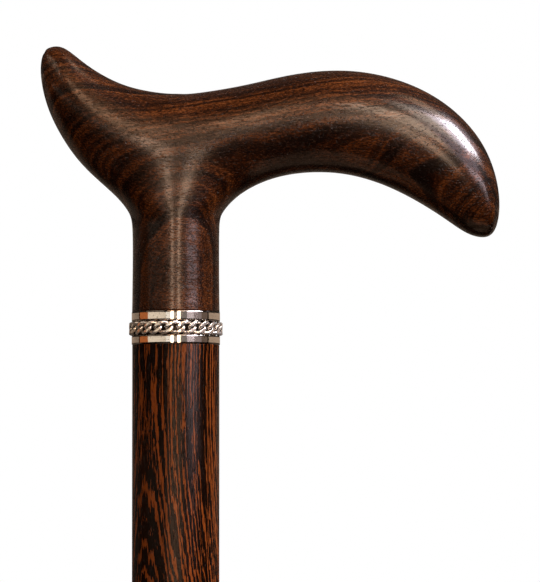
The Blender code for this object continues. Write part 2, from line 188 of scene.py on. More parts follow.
def wenge(point):
    x, y, z = point.split()
    out_x, out_y = x - TREE_MIDDLE[0], y - TREE_MIDDLE[1]
    sway = ((z - SWAY_TOP) * (2 * math.pi / SWAY_LENGTH)).math("COSINE") * GRAIN_SWAY
    drift = (point.noise(0.10, 0.10, 0.010) - 0.5) * 2.5
    streak = (point.noise(0.75, 0.75, 0.012, 2.0) - 0.5) * 2.4
    waver = (point.noise(0.6, 0.6, 0.06, 2.0) - 0.5) * 0.8
    jag = (point.noise(2.6, 2.6, 0.30, 2.0) - 0.5) * 0.9
    away = (out_x * out_x + out_y * out_y).math("SQRT") - WIDEST_STRIPES
    layer = away + away * away * STRIPE_CROWDING + sway + drift + streak + waver + jag
    wave = (layer * (2 * math.pi / STRIPE_PITCH)).math("SINE") * 0.5 + 0.5
    forks = layer.node("ShaderNodeCombineXYZ", {}, {"X": layer / STRIPE_PITCH, "Y": z / 55.0})
    uneven = forks.noise(1.2, 1.0, 1.0, 1.0)
    broad = layer.lines(STRIPE_PITCH * 4, 1.0)
    fibre = point.noise(5.0, 5.0, 0.25, 3.0, 0.6)
    thin = forks.noise(3.1, 1.6, 1.0, 0.0)
    stripe = wave * 0.9 + (uneven - 0.5) * 1.9 + (broad - 0.5) * 1.1 + (thin - 0.5) * 1.3
    # Painted shade: x * 0.006 thins the pale stripes towards -X, darkening the left side of the
    # shaft.
    stripe = (stripe + (fibre - 0.5) * 1.0 + x * 0.006).rise(0.68, 0.78)
    vessel = point.noise(5.0, 5.0, 0.6, 1.0).rise(0.60, 0.68)
    pale = point.noise(0.25, 0.25, 0.02).tint((0.098, 0.023, 0.0025), (0.245, 0.056, 0.0095))
    pale = (vessel * 0.75).tint(pale, (0.030, 0.006, 0.002))
    dark = fibre.rise(0.35, 0.75).tint((0.0018, 0.0006, 0.0003), (0.010, 0.0028, 0.0008))
    return {
        "Base Color": stripe.tint(dark, pale),
        "Roughness": fibre * 0.16 + 0.09,
        "Height": fibre * 0.040 - vessel * 0.080,
    }


def filleted(corners, steps=6):
    """Outline of (radius, height) points from corners given as (radius, height, rounding)."""
    outline = []
    places = [Vector(corner[:2]) for corner in corners]
    for index, corner in enumerate(places):
        rounding = corners[index][2]
        if rounding == 0:
            outline.append(tuple(corner))
            continue
        before = (places[index - 1] - corner).normalized()
        after = (places[(index + 1) % len(places)] - corner).normalized()
        half = before.angle(after) / 2
        centre = corner + (before + after).normalized() * (rounding / math.sin(half))
        start = corner + before * (rounding / math.tan(half)) - centre
        turn = start.angle_signed(corner + after * (rounding / math.tan(half)) - centre)
        for step in range(steps + 1):
            angle = -turn * step / steps
            spun = (
                start.x * math.cos(angle) - start.y * math.sin(angle),
                start.x * math.sin(angle) + start.y * math.cos(angle),
            )
            outline.append((centre.x + spun[0], centre.y + spun[1]))
    return outline


def turned(name, outline, sides):
    """Solid of revolution about the shaft's axis from a closed run of (radius, height) points."""
    shape = bmesh.new()
    corners = [shape.verts.new((radius, 0.0, height)) for radius, height in outline]
    for start, end in zip(corners, corners[1:] + corners[:1]):
        if start.co.x > 0 or end.co.x > 0:
            shape.edges.new((start, end))
    bmesh.ops.spin(
        shape,
        geom=shape.verts[:] + shape.edges[:],
        cent=(0, 0, 0),
        axis=(0, 0, 1),
        angle=2 * math.pi,
        steps=sides,
        use_merge=True,
    )
    bmesh.ops.remove_doubles(shape, verts=shape.verts, dist=1e-7)
    bmesh.ops.recalc_face_normals(shape, faces=shape.faces)
    mesh = bpy.data.meshes.new(name)
    shape.to_mesh(mesh)
    shape.free()
    mesh.shade_smooth()
    mesh.set_sharp_from_angle(angle=SHARP_ANGLE)
    return mesh


def placed(name, mesh, material, body, slot, *nodes):
    """Puts a piece in the scene, on its body and in the place of its solids."""
    piece = bpy.data.objects.new(name, mesh)
    bpy.context.scene.collection.objects.link(piece)
    mesh.materials.append(material)
    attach(piece, body)
    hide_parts(*nodes)


shaft_outline = filleted(
    (
        (0, shaft_low.z, 0),
        (SHAFT_TIP_RADIUS, shaft_low.z, TIP_EDGE),
        (SHAFT_TIP_RADIUS, shaft_low.z + SHAFT_TIP_LENGTH, 0),
        (SHAFT_RADIUS, SHOULDER_Z - SHAFT_STRAIGHT_LENGTH, 0),
        (SHAFT_RADIUS, SHOULDER_Z, SHOULDER_EDGE),
        (SPIGOT_RADIUS, SHOULDER_Z, 0),
        (SPIGOT_RADIUS, shaft_high.z, SPIGOT_EDGE),
        (STUD_HOLE_RADIUS, shaft_high.z, 0),
        (STUD_HOLE_RADIUS, SHOULDER_Z - STUD_HOLE_DEPTH, 0),
        (0, SHOULDER_Z - STUD_HOLE_DEPTH, 0),
    )
)
SATIN_LACQUER = {
    "Specular Tint": (1.0, 0.88, 0.78, 1.0),
    "Specular IOR Level": 0.21,
}
shaft_wood = finish("striped_wenge", SATIN_LACQUER, wenge)
shaft_mesh = turned("wenge_shaft", shaft_outline, SHAFT_SIDES)
placed("wenge_shaft", shaft_mesh, shaft_wood, "cane", "shaft_wood", "shaft")

# Joint stud. A plain zinc-plated steel pin, glued into the handle and the shaft, which holds the two
# woods together inside the collar.


def copied(node):
    """Smooth copy of a solid's own mesh, with its facets joined."""
    shape = bmesh.new()
    shape.from_mesh(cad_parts[node].data)
    bmesh.ops.remove_doubles(shape, verts=shape.verts, dist=1e-6)
    mesh = bpy.data.meshes.new(node)
    shape.to_mesh(mesh)
    shape.free()
    mesh.shade_smooth()
    mesh.set_sharp_from_angle(angle=SHARP_ANGLE)
    return mesh


def zinc(point):
    spangle = point.noise(1.2, 1.2, 1.2, 3.0)
    return {
        "Base Color": spangle.rise(0.3, 0.7).tint((0.42, 0.43, 0.45), (0.62, 0.63, 0.65)),
        "Roughness": spangle * 0.3 + 0.2,
        "Height": spangle * 0.004,
    }


zinc_steel = finish("zinc_plated_steel", {"Metallic": 1.0}, zinc)
placed("steel_stud", copied("joint_stud"), zinc_steel, "cane", "stud_steel", "joint_stud")

# Collar sleeve. A thin silver-plated tube on the spigot, seen only between the links of the chain.
# Its near-black colour is painted shade behind the chain, and partly tarnish where the chain keeps a
# cloth from reaching it.
# The bands are soldered to it.


def tarnish_and_shade(point):
    cloud = point.noise(0.9, 0.9, 0.9, 3.0)
    return {
        # Painted shade: the near-black silver makes the gaps in the chain read as shade, and it
        # stands for tarnish too.
        "Base Color": cloud.rise(0.35, 0.65).tint((0.020, 0.015, 0.012), (0.090, 0.070, 0.055)),
        "Roughness": cloud * 0.3 + 0.3,
        "Height": cloud * 0.006,
    }


shaded_tarnished_silver = finish("shaded_tarnished_silver", {"Metallic": 1.0}, tarnish_and_shade)
sleeve_mesh = copied("collar_sleeve")
placed("silver_sleeve", sleeve_mesh, shaded_tarnished_silver, "cane", "collar_metal", "collar_sleeve")

# Collar bands. Two plain rings of silver-plated brass with softened edges, polished on a wheel, which
# leaves faint ripples and hairlines round them.

BAND_EDGE = 0.00018
BAND_MARGIN = 2.5 * BAND_EDGE  # of the wall, beside each edge, which keeps its shading flat
BAND_SEAT = 0.0002  # by which the bands come closer to the chain and the neck
BAND_FIT = 0.0003  # between the sleeve and the bands
BAND_SIDES = 160


def polish(point):
    ripple = point.noise(0.35, 0.35, 0.5, 2.0)
    hairline = point.noise(0.5, 0.5, 22.0, 2.0)
    pit = point.noise(2.6, 2.6, 2.6, 1.0).rise(0.70, 0.76)
    return {
        "Base Color": pit.tint((0.86, 0.80, 0.73), (0.35, 0.29, 0.23)),
        "Roughness": hairline * 0.05 + 0.05,
        "Height": ripple * 0.012 + hairline * 0.0008 - pit * 0.004,
    }


polished_silver = finish("polished_silver", {"Metallic": 1.0}, polish)
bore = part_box("collar_sleeve")[1].x + BAND_FIT
for node, name, seat in (
    ("collar_upper_band", "silver_upper_band", BAND_SEAT),
    ("collar_lower_band", "silver_lower_band", 0.0),
):
    low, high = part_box(node)
    foot, top = low.z - seat, high.z + BAND_SEAT
    band_outline = filleted(
        (
            (bore, foot, 0),
            (high.x, foot, BAND_EDGE),
            (high.x, foot + BAND_MARGIN, 0),
            (high.x, top - BAND_MARGIN, 0),
            (high.x, top, BAND_EDGE),
            (bore, top, 0),
        )
    )
    band_mesh = turned(name, band_outline, BAND_SIDES)
    placed(name, band_mesh, polished_silver, "cane", "collar_metal", node)

# Curb chain. Round silver-plated wire bent into ovals, each twisted about its own length so that the
# links lie flat in one another, laid round the sleeve and ground a little flat outside.

LINKS = 24
LINK_HEIGHT = 0.0037
LINK_WIRE = 0.00096
LINK_SLACK = 0.00050
LINK_TWIST = math.radians(-48)
LINK_GROUND = 0.00030  # depth ground off the outside of the wire
LINK_BULGE = 0.02  # share of the ground depth by which the flats still swell
LINK_POINTS = 56
LINK_WIRE_STEPS = 9
PAINTED_SHADE_REACH = 0.0009  # from one wire to the next, within which the silver is painted dark as shade between the links, and tarnish in their pockets


def link_mesh():
    """One link at the front of the ring, which the others share."""
    half_height = (LINK_HEIGHT - LINK_WIRE) / 2
    turn = np.linspace(0, 2 * math.pi, LINK_POINTS, endpoint=False)
    twist = LINK_TWIST * np.cos(turn)
    across = half_height * np.sin(turn)
    depth = across * np.sin(twist)
    outside = -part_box("chain_link_01")[0].y + LINK_GROUND
    ring_radius = outside - LINK_WIRE / 2 - depth.max()
    half_length = (2 * math.pi * ring_radius / LINKS + LINK_WIRE + LINK_SLACK) / 2
    bearing = half_length * np.cos(turn) / ring_radius
    radius = ring_radius + depth
    middle = (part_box("collar_upper_band")[1].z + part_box("collar_lower_band")[0].z) / 2
    rise = middle + across * np.cos(twist)
    wire = bpy.data.curves.new("curb_link", "CURVE")
    wire.dimensions = "3D"
    wire.bevel_depth = LINK_WIRE / 2
    wire.bevel_resolution = LINK_WIRE_STEPS
    route = wire.splines.new("POLY")
    route.use_cyclic_u = True
    route.use_smooth = True
    route.points.add(len(turn) - 1)
    for point, r, b, z in zip(route.points, radius, bearing, rise):
        point.co = (r * math.sin(b), -r * math.cos(b), z, 1.0)
    bent = bpy.data.objects.new("curb_link", wire)
    mesh = bpy.data.meshes.new_from_object(bent)
    bpy.data.objects.remove(bent)
    ground = outside - LINK_GROUND
    for corner in mesh.vertices:
        reach = math.hypot(corner.co.x, corner.co.y)
        if reach > ground:
            kept = ground + (reach - ground) * LINK_BULGE
            corner.co.x *= kept / reach
            corner.co.y *= kept / reach
    mesh.shade_smooth()
    return mesh


def chain_silver(point):
    pocket = point.noise(0.8, 0.8, 0.8, 3.0)
    scratch = point.noise(6.0, 6.0, 2.0, 2.0)
    reach = {"Distance": PAINTED_SHADE_REACH}
    # Painted shade: ambient occlusion darkens the silver almost to black where wires lie close
    # together. It also stands for tarnish in the pockets.
    shade = point.node("ShaderNodeAmbientOcclusion", {"samples": 6}, reach, "AO")
    unshaded_share = shade.rise(0.02, 0.60)
    tone = pocket.rise(0.35, 0.7).tint((1.0, 0.88, 0.74), (1.0, 0.97, 0.92))
    return {
        "Base Color": unshaded_share.tint((0.030, 0.016, 0.009), tone),
        "Roughness": scratch * 0.10 + 0.06,
        "Height": scratch * 0.001,
    }


link_silver = finish("chain_silver", {"Metallic": 0.82}, chain_silver)
link_shape = link_mesh()
for number in range(LINKS):
    node = f"chain_link_{number + 1:02d}"
    piece = bpy.data.objects.new(f"curb_link_{number + 1:02d}", link_shape)
    piece.rotation_euler.z = 2 * math.pi * number / LINKS
    bpy.context.scene.collection.objects.link(piece)
    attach(piece, "cane")
    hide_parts(node)
link_shape.materials.append(link_silver)

# Handle. Carved from one block of dark rosewood with the neck below it, bored for the stud, sanded
# smooth and lacquered to a satin. The grain runs from the beak to the nose and climbs a little.

NECK_FOOT_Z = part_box("handle")[0].z
BEAK_REACH = 0.03705
BEAK_BACK_RISE = 0.0670
BEAK_TOP_REACH = 0.0329
BEAK_TOP_RISE = 0.07293
BELLY_REACH = 0.0200
BELLY_RISE = 0.0348
SADDLE_REACH = 0.0009
SADDLE_RISE = 0.0597
CROWN_REACH = 0.0440
CROWN_RISE = 0.0661
NOSE_REACH = 0.08835
NOSE_FRONT_RISE = 0.0290
NOSE_FOOT_REACH = 0.0830
NOSE_FOOT_RISE = 0.0203
CROOK_REACH = 0.0395
CROOK_RISE = 0.0383
THROAT_REACH = 0.0170
THROAT_RISE = 0.03175
NECK_STRAIGHT = 0.0215
NECK_FOOT_RADIUS = 0.01195
NECK_WAIST_RADIUS = 0.01185
SADDLE_HALF_WIDTH = 0.0121
PALM_HALF_WIDTH = 0.0130
PALM_WIDEST_AT = 0.0380
RIM_RISE = 0.0322
RIM_SIDE_RISE = 0.0357
RIM_SPREAD = 0.0046
NECK_DIAGONAL = 1.04
SECTION_WIDEST = 0.46
SECTION_FULLNESS = 0.725
BORE_DEPTH = 0.037
BEAK_SHARES = (0, 0.23, 0.45, 0.66, 0.84, 0.95)  # of the arm's length, at which its rings stand
NOSE_SHARES = (0, 0.12, 0.25, 0.39, 0.53, 0.66, 0.78, 0.88, 0.95)
FILLET_SHARE = 0.55  # of the way from the straight of the neck up to its rim
WAIST_SHARE = 0.35  # of the height of the straight
SMOOTH_LEVELS = 4


def sweep(start, start_heading, start_pull, end, end_heading, end_pull, steps=32):
    """Curve between two points of a drawing. It leaves and arrives along the headings, in degrees,
    and a pull is the share of the straight distance over which it keeps to a heading."""
    start, end = np.array(start), np.array(end)
    reach = np.linalg.norm(end - start)
    angles = np.radians((start_heading, end_heading))
    leave, arrive = np.stack((np.cos(angles), np.sin(angles)), axis=1)
    knots = (start, start + leave * start_pull * reach, end - arrive * end_pull * reach, end)
    share = np.linspace(0, 1, steps + 1)[:, None]
    weights = ((1 - share) ** 3, 3 * (1 - share) ** 2 * share, 3 * (1 - share) * share**2, share**3)
    return sum(weight * knot for weight, knot in zip(weights, knots))


def joined(*runs):
    return np.concatenate([runs[0]] + [run[1:] for run in runs[1:]])


def lengths_along(line):
    steps = np.linalg.norm(np.diff(line, axis=0), axis=1)
    return np.concatenate(([0.0], np.cumsum(steps)))


def point_at(line, distance):
    lengths = lengths_along(line)
    return np.array([np.interp(distance, lengths, line[:, axis]) for axis in (0, 1)])


def distance_at_rise(line, rise):
    first = int(np.argmax(line[:, 1] >= rise))
    lengths = lengths_along(line)
    return np.interp(rise, line[first - 1 : first + 1, 1], lengths[first - 1 : first + 1])


def handle_outline():
    """The side view as (reach, rise) lines. The top runs from the saddle to each tip, and the
    underside from the neck to each tip."""
    beak_back = (-BEAK_REACH, BEAK_BACK_RISE)
    beak_top = (-BEAK_TOP_REACH, BEAK_TOP_RISE)
    belly = (-BELLY_REACH, BELLY_RISE)
    saddle = (SADDLE_REACH, SADDLE_RISE)
    crown = (CROWN_REACH, CROWN_RISE)
    nose_front = (NOSE_REACH, NOSE_FRONT_RISE)
    nose_foot = (NOSE_FOOT_REACH, NOSE_FOOT_RISE)
    crook = (CROOK_REACH, CROOK_RISE)
    throat = (THROAT_REACH, THROAT_RISE)
    neck_back = (-NECK_WAIST_RADIUS, NECK_STRAIGHT)
    neck_front = (NECK_WAIST_RADIUS, NECK_STRAIGHT)
    beak_round = sweep(beak_back, 90, 0.38, beak_top, 0, 0.33)
    nose_round = sweep(nose_front, -90, 0.38, nose_foot, 180, 0.46)
    half_beak, half_nose = len(beak_round) // 2, len(nose_round) // 2
    beak_over = joined(
        sweep(saddle, 180, 0.61, beak_top, 180, 0.14),
        beak_round[half_beak:][::-1],
    )
    beak_under = joined(
        sweep(neck_back, 90, 0.45, belly, 139, 0.41),
        sweep(belly, 139, 0.34, beak_back, 90, 0.33),
        beak_round[: half_beak + 1],
    )
    nose_over = joined(
        sweep(saddle, 0, 0.35, crown, 0, 0.36),
        sweep(crown, 0, 0.40, nose_front, -90, 0.39),
        nose_round[: half_nose + 1],
    )
    nose_under = joined(
        sweep(neck_front, 90, 0.45, throat, 37, 0.43),
        sweep(throat, 37, 0.35, crook, 0, 0.345),
        sweep(crook, 0, 0.47, nose_foot, 0, 0.11),
        nose_round[half_nose:][::-1],
    )
    return beak_over, beak_under, nose_over, nose_under


def handle_plans(beak_over, nose_over):
    """Half widths seen from above, as (distance from the saddle along the top, half width)."""
    beak_length = lengths_along(beak_over)[-1]
    nose_length = lengths_along(nose_over)[-1]
    beak_plan = sweep((0, SADDLE_HALF_WIDTH), -4, 0.62, (beak_length, 0), -90, 0.15)
    nose_plan = joined(
        sweep((0, SADDLE_HALF_WIDTH), 0, 0.35, (PALM_WIDEST_AT, PALM_HALF_WIDTH), 0, 0.35),
        sweep((PALM_WIDEST_AT, PALM_HALF_WIDTH), 0, 0.62, (nose_length, 0), -90, 0.14),
    )
    return beak_plan, nose_plan


def section(over, under, half_width):
    """Eight points round an arm, from the top over the front (-Y) and the underside to the back."""
    widest = over + (under - over) * SECTION_WIDEST
    full = SECTION_FULLNESS
    ring = []
    for rise, side in ((1, 0), (full, -full), (0, -1), (-full, -full)):
        edge = over if rise > 0 else under
        reach, height = widest + (edge - widest) * abs(rise)
        ring.append((reach, side * half_width, height))
    ring.append((under[0], 0.0, under[1]))
    return ring + [(x, -y, z) for x, y, z in ring[3:0:-1]]


def arm_sections(over, under, plan, shares):
    """Rings of the cage along one arm, from the neck out to its tip."""
    over_length, under_length = lengths_along(over)[-1], lengths_along(under)[-1]
    under_start = distance_at_rise(under, RIM_RISE)
    rings = []
    for share in shares:
        over_distance = RIM_SPREAD + (over_length - RIM_SPREAD) * share
        under_distance = under_start + (under_length - under_start) * share
        half_width = np.interp(over_distance, plan[:, 0], plan[:, 1])
        rings.append(
            section(point_at(over, over_distance), point_at(under, under_distance), half_width)
        )
    return rings


def neck_ring(rise, back, front, radius, diagonal=1.0):
    """Eight points round the neck at one height, reaching back and front along X."""
    ring = []
    for step in range(8):
        angle = math.pi * step / 4
        reach = math.cos(angle) * (back if math.cos(angle) > 0 else -front)
        side = -math.sin(angle) * radius * (diagonal if step % 2 else 1.0)
        ring.append((reach, side, rise))
    return ring


def neck_rings(under_back, under_front):
    fillet_rise = NECK_STRAIGHT + FILLET_SHARE * (RIM_RISE - NECK_STRAIGHT)
    fillet_back, fillet_front = [
        point_at(line, distance_at_rise(line, fillet_rise))[0] for line in (under_back, under_front)
    ]
    waist, foot = NECK_WAIST_RADIUS, NECK_FOOT_RADIUS
    return [
        neck_ring(fillet_rise, fillet_back, fillet_front, waist, NECK_DIAGONAL),
        neck_ring(NECK_STRAIGHT, -waist, waist, waist),
        neck_ring(NECK_STRAIGHT * WAIST_SHARE, -waist, waist, waist),
        neck_ring(0.0, -foot, foot, foot),
    ]


def fit_cage(shape, creased):
    """Moves the corners of a cage so that its Catmull-Clark surface passes where they were."""
    shape.verts.index_update()
    targets = np.array([corner.co for corner in shape.verts], float)
    weights = np.zeros((len(targets), len(targets)))
    for corner in shape.verts:
        near = [edge.other_vert(corner) for edge in corner.link_edges]
        opposite = []
        own_weight, near_weight = len(near) ** 2, 4
        if corner in creased:
            near = [other for other in near if other in creased]
            own_weight, near_weight = 4, 1
        else:
            for face in corner.link_faces:
                opposite += [v for v in face.verts if v is not corner and v not in near]
        row = weights[corner.index]
        row[corner.index] = own_weight
        row[[other.index for other in near]] = near_weight
        row[[other.index for other in opposite]] = 1
        row /= row.sum()
    for corner, position in zip(shape.verts, np.linalg.solve(weights, targets)):
        corner.co = position


def smoothed(cage, levels):
    """The Catmull-Clark surface of a cage, as a mesh of its own."""
    block = bpy.data.objects.new(cage.name, cage)
    bpy.context.scene.collection.objects.link(block)
    block.modifiers.new("smooth", "SUBSURF").levels = levels
    shaped = block.evaluated_get(bpy.context.evaluated_depsgraph_get())
    mesh = bpy.data.meshes.new_from_object(shaped)
    bpy.data.objects.remove(block)
    return mesh


def handle_mesh():
    """Cage of the handle: rings from the beak over the neck to the nose, with the rings of the
    neck hung in the opening between the three middle ones."""
    beak_over, beak_under, nose_over, nose_under = handle_outline()
    beak_plan, nose_plan = handle_plans(beak_over, nose_over)
    beak_rings = arm_sections(beak_over, beak_under, beak_plan, BEAK_SHARES)
    nose_rings = arm_sections(nose_over, nose_under, nose_plan, NOSE_SHARES)
    saddle_ring = section(
        np.array((SADDLE_REACH, SADDLE_RISE)), np.array((0.0, RIM_RISE)), SADDLE_HALF_WIDTH
    )
    saddle_ring[3] = (0.0, -NECK_WAIST_RADIUS, RIM_SIDE_RISE)
    saddle_ring[5] = (0.0, NECK_WAIST_RADIUS, RIM_SIDE_RISE)

    shape = bmesh.new()

    def corners(ring):
        return [shape.verts.new(point) for point in ring]

    def bridge(one, other, skip=()):
        for step in range(len(one)):
            if step not in skip:
                after = (step + 1) % len(one)
                shape.faces.new((one[step], one[after], other[after], other[step]))

    beak = [corners(ring) for ring in beak_rings]
    nose = [corners(ring) for ring in nose_rings]
    saddle = [None if step == 4 else shape.verts.new(p) for step, p in enumerate(saddle_ring)]
    for arm in (beak, nose):
        for one, other in zip(arm, arm[1:]):
            bridge(one, other)
        bridge(arm[0], saddle, skip=(3, 4))
    for arm, line in ((beak, beak_over), (nose, nose_over)):
        tip = shape.verts.new((line[-1][0], 0.0, line[-1][1]))
        last = arm[-1]
        for step in range(0, 8, 2):
            shape.faces.new((tip, last[step], last[step + 1], last[(step + 2) % 8]))

    back, front = beak[0], nose[0]
    rim = [back[4], back[3], saddle[3], front[3], front[4], front[5], saddle[5], back[5]]
    neck = [rim] + [corners(ring) for ring in neck_rings(beak_under, nose_under)]
    for one, other in zip(neck, neck[1:]):
        bridge(one, other)
    foot = neck[-1]
    foot_face = shape.faces.new(foot)
    fit_cage(shape, set(foot))

    # A ring of eight, rounded by subdivision, shrinks to this share of its radius.
    shrink = (4 + 2 * math.cos(math.pi / 4)) / 6
    shape.faces.remove(foot_face)
    bore = STUD_HOLE_RADIUS / shrink
    bore_rim = corners(neck_ring(0.0, -bore, bore, bore))
    bore_end = corners(neck_ring(BORE_DEPTH, -bore, bore, bore))
    bridge(foot, bore_rim)
    bridge(bore_rim, bore_end)
    shape.faces.new(bore_end)
    crease = shape.edges.layers.float.new("crease_edge")
    for ring in (foot, bore_rim, bore_end):
        for one, other in zip(ring, ring[1:] + ring[:1]):
            shape.edges.get((one, other))[crease] = 1.0
    bmesh.ops.recalc_face_normals(shape, faces=shape.faces)
    bmesh.ops.translate(shape, verts=shape.verts, vec=(0, 0, NECK_FOOT_Z))
    cage = bpy.data.meshes.new("rosewood_handle")
    shape.to_mesh(cage)
    shape.free()
    cage.shade_smooth()
    return smoothed(cage, SMOOTH_LEVELS)


PITH = (-58.0, NECK_FOOT_Z * 1e3 + 2.0)  # centre of the tree's layers, in front (-Y) and below
GRAIN_CLIMB = 0.17
KNOT = (69.0, NECK_FOOT_Z * 1e3 + 37.0)  # across and up, where the layers close round a small knot
# Two dark layers of the grain. Their distances lay them along the underside of the palm's ridge,
# where they are partly painted shade below its sheen, and over the neck.
DARK_LAYERS_AND_SHADE = ((52.7, 0.8, 0.30), (59.6, 1.7, 0.25))  # mm from the pith, half width, how dark
THICK_LACQUER = (46.0, 72.0)  # mm along X, over which the lacquer grows thicker to the nose
RUNS_TOP = (22.0, 32.0)  # mm above the foot of the neck, over which its runs die out


def rosewood(point):
    x, y, z = point.split()
    wander = (point.noise(0.030, 0.05, 0.05) - 0.5) * 5.0
    ripple = (point.noise(0.12, 0.30, 0.30, 3.0) - 0.5) * 1.0
    out, up = y - PITH[0], z - PITH[1] - x * GRAIN_CLIMB
    aside, above = (x - KNOT[0]) * 0.75, z - KNOT[1]
    knot = 1 - (aside * aside + above * above).rise(0.0, 260.0)
    even = (out * out + up * up).math("SQRT") + wander + ripple
    layer = even + knot * 11.0
    fine = layer.lines(0.80, 2.0, 0.6)
    broad = layer.lines(2.4, 1.0)
    vein = layer.lines(2.7, 1.0).rise(0.54, 0.70)
    streak = point.noise(0.20, 1.6, 1.6, 3.0, 0.6)
    grain = point.noise(1.1, 3.0, 3.0, 3.0, 0.7)
    grit = point.noise(0.7, 2.9, 2.9, 1.0)
    cloud = point.noise(0.05, 0.12, 0.12, 2.0)
    bright = (fine - 0.5) * 0.6 + (broad - 0.5) * 0.7 + (streak - 0.5) * 0.6 + (cloud - 0.5) * 0.6
    bright = bright + (grain - 0.5) * 1.5 - vein * 0.20 + 0.5
    # Partly painted shade: these layers darken the wood below the ridge's sheen.
    for distance, half_width, depth in DARK_LAYERS_AND_SHADE:
        dark = 1 - (even - distance).math("ABSOLUTE").rise(half_width * 0.3, half_width)
        bright = bright - dark * depth
    color = bright.node(
        "ShaderNodeValToRGB",
        {
            "stops": (
                (0.18, (0.004, 0.0011, 0.0004, 1)),
                (0.42, (0.0195, 0.0048, 0.0009, 1)),
                (0.62, (0.052, 0.0134, 0.0024, 1)),
                (0.90, (0.128, 0.037, 0.0078, 1)),
            )
        },
        {"Fac": bright},
    )
    dash = point.noise(0.45, 2.2, 2.2, 1.0)
    pit = point.noise(1.1, 3.8, 3.8, 0.0).rise(0.64, 0.69)
    pore = pit * point.noise(0.15, 0.4, 0.4).rise(0.34, 0.50)

    # The wood drinks the lacquer unevenly. It lies thicker towards the nose, and in level runs
    # on the right of the neck.
    lacquer = (grit + dash - 1.0).rise(-0.28, 0.06) * (bright.rise(0.25, 0.65) * 0.45 + 0.55)
    thick = x.rise(*THICK_LACQUER) * 0.65
    lacquer = lacquer * (1 - thick) + thick
    runs = point.noise(0.22, 0.22, 1.3, 1.0).rise(0.44, 0.56)
    on_neck = (1 - (z - NECK_FOOT_Z * 1e3).rise(*RUNS_TOP)) * x.rise(1.0, 3.5)
    lacquer = lacquer * (1 - (1 - runs) * on_neck * 0.95)
    return {
        "Base Color": (pore * 0.9).tint(color, (0.005, 0.0015, 0.001)),
        "Roughness": grain * 0.20 + 0.16,
        "Coat Weight": lacquer * (1 - pore),
        "Height": (grit + dash) * 0.035 * (1 - thick) - pore * 0.12,
    }


handle_wood = finish(
    "lacquered_rosewood",
    {
        "Specular Tint": (1.0, 0.84, 0.70, 1.0),
        "Specular IOR Level": 0.42,
        "Coat Roughness": 0.18,
    },
    rosewood,
)
placed("rosewood_handle", handle_mesh(), handle_wood, "cane", "handle_wood", "handle")

# Ferrule washer. A disc of plain steel in the floor of the ferrule, which keeps the tip of the shaft
# from cutting through the rubber.

washer_steel = finish("washer_steel", {"Metallic": 1.0}, zinc)
washer_mesh = copied("ferrule_washer")
placed("steel_washer", washer_mesh, washer_steel, "ferrule", "washer_steel", "ferrule_washer")

# Ferrule. Moulded black rubber, pushed over the tip: a ribbed mouth, a waist and a flared foot with
# ring grooves in its tread. It pulls off when it is worn.

FERRULE_HEIGHT = 0.036
FERRULE_FLOOR = 0.0065
FERRULE_BODY_RADIUS = 0.0113
FERRULE_FOOT_RADIUS = 0.0150
FERRULE_FOOT_HEIGHT = 0.0045
FERRULE_FLARE_HEIGHT = 0.0130
FERRULE_EDGE = 0.0010
FERRULE_MOUTH_EDGE = 0.0004
FERRULE_CREASE = 0.0002  # round of the small corners
FERRULE_RIBS = 3
RIB_RADIUS = 0.0118
RIB_HEIGHT = 0.0018
RIB_PITCH = 0.0036
RIB_EDGE = 0.0003
TREAD_DISC_RADIUS = 0.0055
TREAD_GROOVES = 2
TREAD_GROOVE_WIDTH = 0.0016
TREAD_GROOVE_DEPTH = 0.0012
SOCKET_RADIUS = 0.0093
FERRULE_SIDES = 112


def ferrule_corners():
    """Half section of the ferrule, from the middle of its ground face out, up and back inside."""
    corners = [(0, 0, 0)]
    edge = TREAD_DISC_RADIUS
    tread_width = FERRULE_FOOT_RADIUS - FERRULE_EDGE - TREAD_DISC_RADIUS
    for _ in range(TREAD_GROOVES):
        outer = edge + TREAD_GROOVE_WIDTH
        for radius, height in ((edge, 0), (edge, 1), (outer, 1), (outer, 0)):
            corners.append((radius, TREAD_GROOVE_DEPTH * height, FERRULE_CREASE))
        edge += tread_width / TREAD_GROOVES
    corners.append((FERRULE_FOOT_RADIUS, 0, FERRULE_EDGE))
    flare_foot = (FERRULE_FOOT_RADIUS, FERRULE_FOOT_HEIGHT)
    flare_top = (FERRULE_BODY_RADIUS, FERRULE_FOOT_HEIGHT + FERRULE_FLARE_HEIGHT)
    corners += [(*point, 0) for point in sweep(flare_foot, 90, 0.35, flare_top, 90, 0.5, 16)]
    for rib in range(FERRULE_RIBS):
        foot = FERRULE_HEIGHT - (FERRULE_RIBS - rib) * RIB_PITCH
        corners += [
            (FERRULE_BODY_RADIUS, foot, FERRULE_CREASE),
            (RIB_RADIUS, foot + RIB_EDGE, FERRULE_CREASE),
            (RIB_RADIUS, foot + RIB_HEIGHT, FERRULE_CREASE),
            (FERRULE_BODY_RADIUS, foot + RIB_HEIGHT + RIB_EDGE, FERRULE_CREASE),
        ]
    return corners + [
        (FERRULE_BODY_RADIUS, FERRULE_HEIGHT, FERRULE_MOUTH_EDGE),
        (SOCKET_RADIUS, FERRULE_HEIGHT, FERRULE_MOUTH_EDGE),
        (SOCKET_RADIUS, FERRULE_FLOOR, 0),
        (0, FERRULE_FLOOR, 0),
    ]


def rubber(point):
    grain = point.noise(2.2, 2.2, 2.2, 4.0, 0.6)
    dust = point.noise(0.12, 0.12, 0.12, 3.0).rise(0.45, 0.75)
    return {
        "Base Color": dust.tint((0.012, 0.012, 0.013), (0.030, 0.030, 0.030)),
        "Roughness": grain * 0.25 + 0.5,
        "Height": grain * 0.02,
    }


